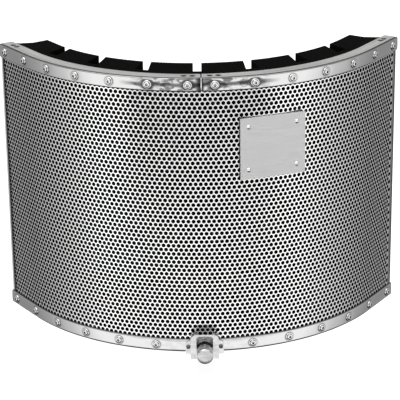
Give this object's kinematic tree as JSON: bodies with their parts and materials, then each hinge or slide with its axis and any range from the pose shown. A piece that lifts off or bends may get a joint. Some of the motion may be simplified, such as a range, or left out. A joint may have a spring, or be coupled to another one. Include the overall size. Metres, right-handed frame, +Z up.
{
  "type": "microphone isolation shield",
  "caption": "Curved stand-mounted microphone shield: perforated steel wall in a screwed metal frame, ribbed foam lining, and a sliding, swivelling arm with a knurled clamp knob.",
  "frame": {"origin": "centre of the stand thread's mouth, underneath the stand adapter", "axes": "+Z up along the stand thread, +X across the shield, +Y from the shield towards the singer"},
  "size_m": [0.4556, 0.194, 0.3655],
  "materials": {
    "perforated_steel": "polished",
    "polished_strip": "polished",
    "brushed_rail": "satin",
    "plated_plate": "satin",
    "screw_steel": "polished",
    "black_foam": "matte",
    "badge_aluminium": "satin",
    "satin_cast": "satin",
    "knurled_metal": "satin",
    "black_rubber": "matte",
    "mount_steel": "satin",
    "turned_metal": "polished"
  },
  "bodies": {
    "stand_mount": {"stand_adapter": "turned_metal", "mic_post": "turned_metal"},
    "carriage": {"slide_block": "mount_steel", "clamp_washer": "mount_steel"},
    "nut": {"lock_nut": "knurled_metal"},
    "mic_ring": {"mic_lock_ring": "knurled_metal"},
    "arm": {"mount_arm": "mount_steel"},
    "shield": {"perforated_sheet": "perforated_steel", "upper_strip_right": "polished_strip", "upper_strip_left": "polished_strip", "foot_strip_right": "polished_strip", "foot_strip_left": "polished_strip", "upper_rail_right": "brushed_rail", "upper_rail_left": "brushed_rail", "foot_rail_right": "brushed_rail", "foot_rail_left": "brushed_rail", "end_post_right": "brushed_rail", "end_post_left": "brushed_rail", "upper_joint_plate": "plated_plate", "foot_bridge_plate": "plated_plate", "upper_corner_bracket_right": "plated_plate", "upper_corner_bracket_left": "plated_plate", "foot_corner_bracket_right": "plated_plate", "foot_corner_bracket_left": "plated_plate", "upper_strip_screws": "screw_steel", "foot_strip_screws": "screw_steel", "rail_joint_screws": "screw_steel", "corner_screws": "screw_steel", "post_screws": "screw_steel", "foam_backing": "black_foam", "foam_liner": "black_foam", "badge_plate": "badge_aluminium", "badge_spacers": "screw_steel", "badge_screws": "screw_steel", "saddle_block": "satin_cast", "saddle_screws": "screw_steel"},
    "knob": {"clamp_knob": "knurled_metal", "knob_grip_ring": "black_rubber", "clamp_stem": "screw_steel"}
  },
  "joints": [
    {"name": "stand_swivel", "type": "hinge", "parent": "stand_mount", "child": "carriage", "pos_m": [0, 0, 0.0287], "axis": [0, 0, 1], "continuous": true},
    {"name": "arm_slide", "type": "slide", "parent": "carriage", "child": "arm", "axis": [0, 1, 0], "range_m": [-0.03, 0.02]},
    {"name": "height_slide", "type": "slide", "parent": "arm", "child": "shield", "axis": [0, 0, 1], "range_m": [-0.0046, 0.006]},
    {"name": "knob_turn", "type": "hinge", "parent": "arm", "child": "knob", "pos_m": [0, -0.13, 0.04875], "axis": [0, -1, 0], "range_deg": [0, 900]},
    {"name": "nut_turn", "type": "hinge", "parent": "stand_mount", "child": "nut", "pos_m": [0, 0, 0.0385], "axis": [0, 0, 1], "range_deg": [0, 540]},
    {"name": "ring_turn", "type": "hinge", "parent": "stand_mount", "child": "mic_ring", "pos_m": [0, 0, 0.0503], "axis": [0, 0, 1], "range_deg": [0, 720]}
  ]
}
